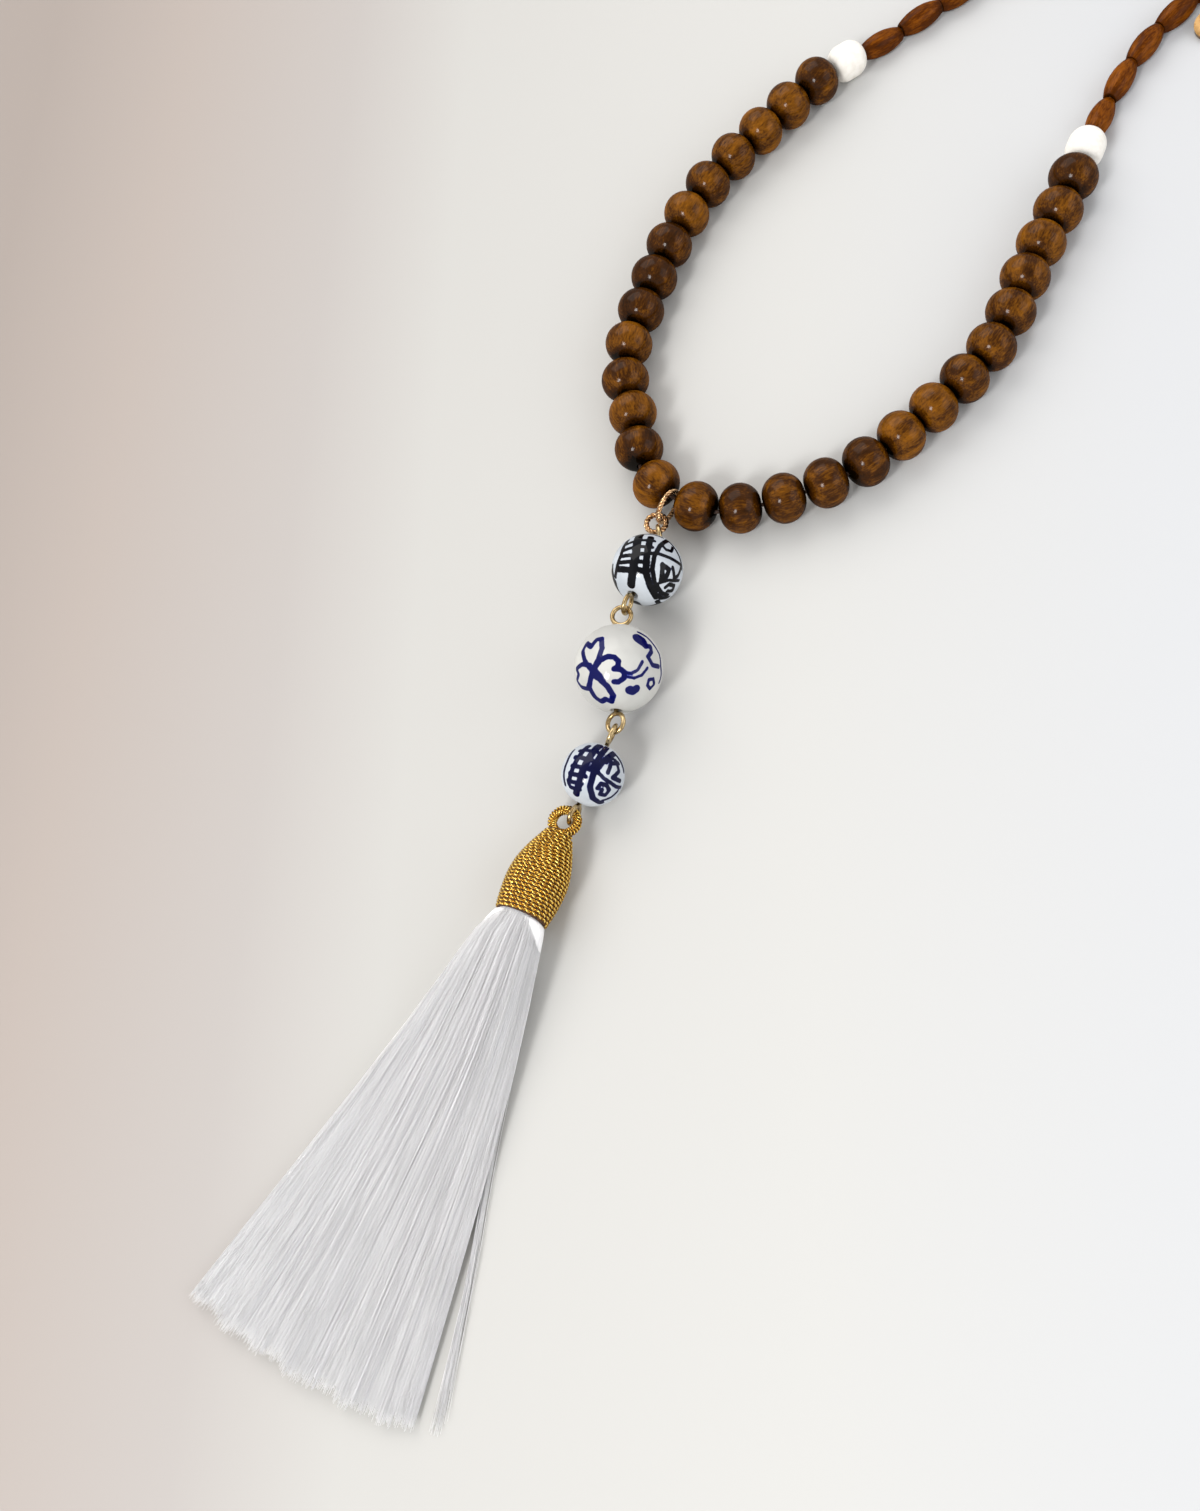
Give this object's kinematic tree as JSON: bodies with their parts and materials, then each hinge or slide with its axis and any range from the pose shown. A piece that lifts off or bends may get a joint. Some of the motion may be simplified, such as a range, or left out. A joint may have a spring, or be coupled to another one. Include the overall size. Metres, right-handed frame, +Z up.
{
  "type": "beaded tassel necklace",
  "caption": "Long necklace of dark wooden beads with a row of blue and white porcelain beads and a white silky tassel with a gold wound head, lying open on a surface.",
  "frame": {"origin": "middle of the base of the bounding box, on the surface that the necklace lies on", "axes": "+Y from the tassel's cut end up to the clasp, +X to the wearer's left as seen from above, +Z up from the surface"},
  "size_m": [0.0963, 0.3875, 0.0171],
  "materials": {
    "dark_wood": "satin lacquer",
    "oval_wood": "matte",
    "white_bead": "matte",
    "thread": "waxed",
    "rose_gold": "twisted, polished",
    "antique_gold": "polished",
    "porcelain_white": "glazed",
    "porcelain_navy": "glazed",
    "gold_cord": "metallic thread",
    "silky_white": "silky",
    "gold_plate": "polished"
  },
  "bodies": {
    "root": {"wood_bead_01": "dark_wood", "wood_bead_02": "dark_wood", "wood_bead_03": "dark_wood", "wood_bead_04": "dark_wood", "wood_bead_05": "dark_wood", "wood_bead_06": "dark_wood", "wood_bead_07": "dark_wood", "wood_bead_08": "dark_wood", "wood_bead_09": "dark_wood", "wood_bead_10": "dark_wood", "wood_bead_11": "dark_wood", "wood_bead_12": "dark_wood", "wood_bead_13": "dark_wood", "wood_bead_14": "dark_wood", "wood_bead_15": "dark_wood", "wood_bead_16": "dark_wood", "wood_bead_17": "dark_wood", "wood_bead_18": "dark_wood", "wood_bead_19": "dark_wood", "wood_bead_20": "dark_wood", "wood_bead_21": "dark_wood", "wood_bead_22": "dark_wood", "wood_bead_23": "dark_wood", "wood_bead_24": "dark_wood", "wood_bead_25": "dark_wood", "wood_bead_26": "dark_wood", "wood_bead_27": "dark_wood", "wood_bead_28": "dark_wood", "white_bead_left": "white_bead", "white_bead_right": "white_bead", "oval_beads_left": "oval_wood", "oval_beads_right": "oval_wood", "thread": "thread", "jump_ring_upper": "rose_gold", "jump_ring_lower": "rose_gold", "eye_pin_top": "antique_gold", "eye_pin_middle": "antique_gold", "eye_pin_bottom": "antique_gold", "porcelain_bead_top": "porcelain_navy", "porcelain_bead_middle": "porcelain_white", "porcelain_bead_bottom": "porcelain_navy", "tassel_head": "gold_cord", "tassel_fringe": "silky_white", "end_ring_left": "gold_plate", "end_ring_right": "gold_plate", "clasp": "gold_plate", "extender_chain": "gold_plate", "end_drop": "gold_plate"}
  },
  "joints": []
}
